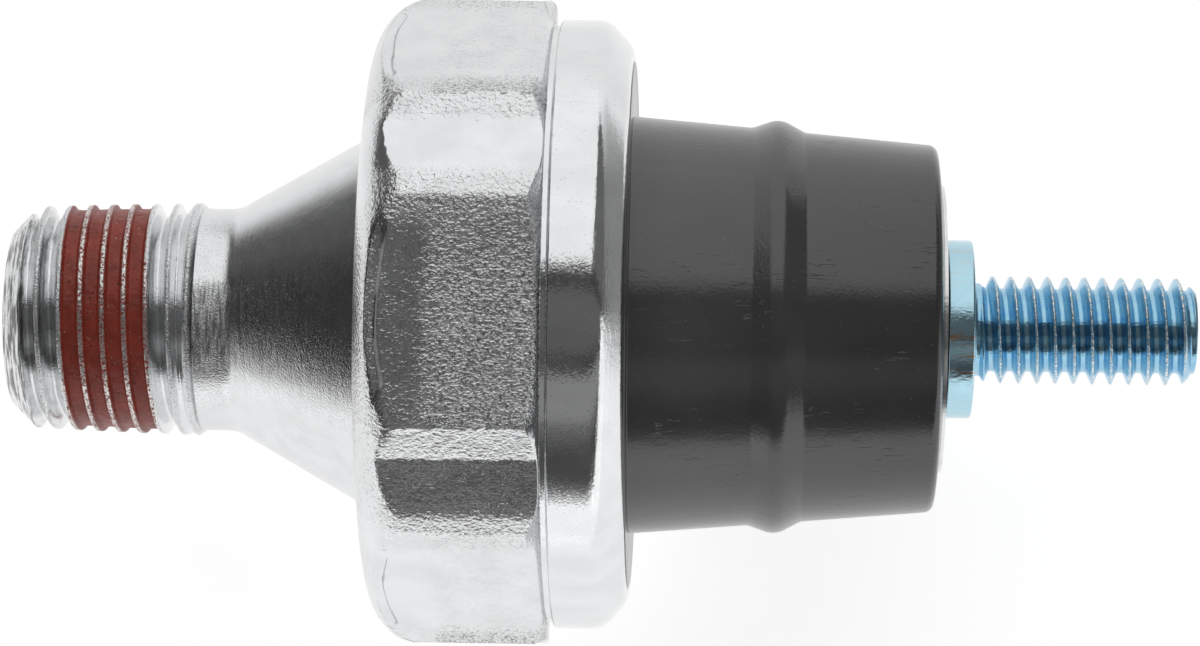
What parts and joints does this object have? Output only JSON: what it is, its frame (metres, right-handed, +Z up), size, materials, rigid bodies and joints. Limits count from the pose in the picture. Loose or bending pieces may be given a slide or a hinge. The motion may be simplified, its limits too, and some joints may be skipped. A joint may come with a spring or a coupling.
{
  "type": "oil pressure sender",
  "caption": "Oil pressure sender with a taper pipe thread, a hexagon body with a rolled collar, a black insulator and a threaded terminal stud; a diaphragm moves a sprung contact inside.",
  "frame": {"origin": "on the axis at the pipe thread's tip face", "axes": "+X along the axis from the pipe thread to the terminal stud; +Z up, square to the hexagon flat that faces up while the opposite flat rests on the surface"},
  "size_m": [0.0513, 0.028, 0.0266],
  "materials": {
    "zinc_steel": "silver zinc plate with a fine forged grain",
    "blue_zinc": "blue passivated zinc",
    "washer_steel": "bright plated",
    "spring_steel": "drawn wire",
    "brass": "pressed brass",
    "black_plastic": "satin moulded",
    "brown_plastic": "moulded",
    "amber_film": "smooth film",
    "black_rubber": "matte",
    "thread_sealant": "dried brick-red thread sealant, made in the visual model only"
  },
  "bodies": {
    "housing": {"body": "zinc_steel", "diaphragm_seal": "black_rubber", "diaphragm": "amber_film", "contact_ring": "brass", "contact_spring": "spring_steel", "spring_seat": "brass", "flange_gasket": "black_rubber", "insulator": "black_plastic", "terminal_washer": "washer_steel", "terminal_seal": "black_rubber", "terminal_stud": "blue_zinc"},
    "moving_contact": {"pusher": "brown_plastic", "contact_disc": "brass"}
  },
  "joints": [
    {"name": "contact_travel", "type": "slide", "parent": "housing", "child": "moving_contact", "axis": [1, 0, 0], "range_m": [0, 0.0006], "stiffness_N_per_m": 2000, "springref_m": -0.0025, "deforming": ["contact_spring"]}
  ]
}
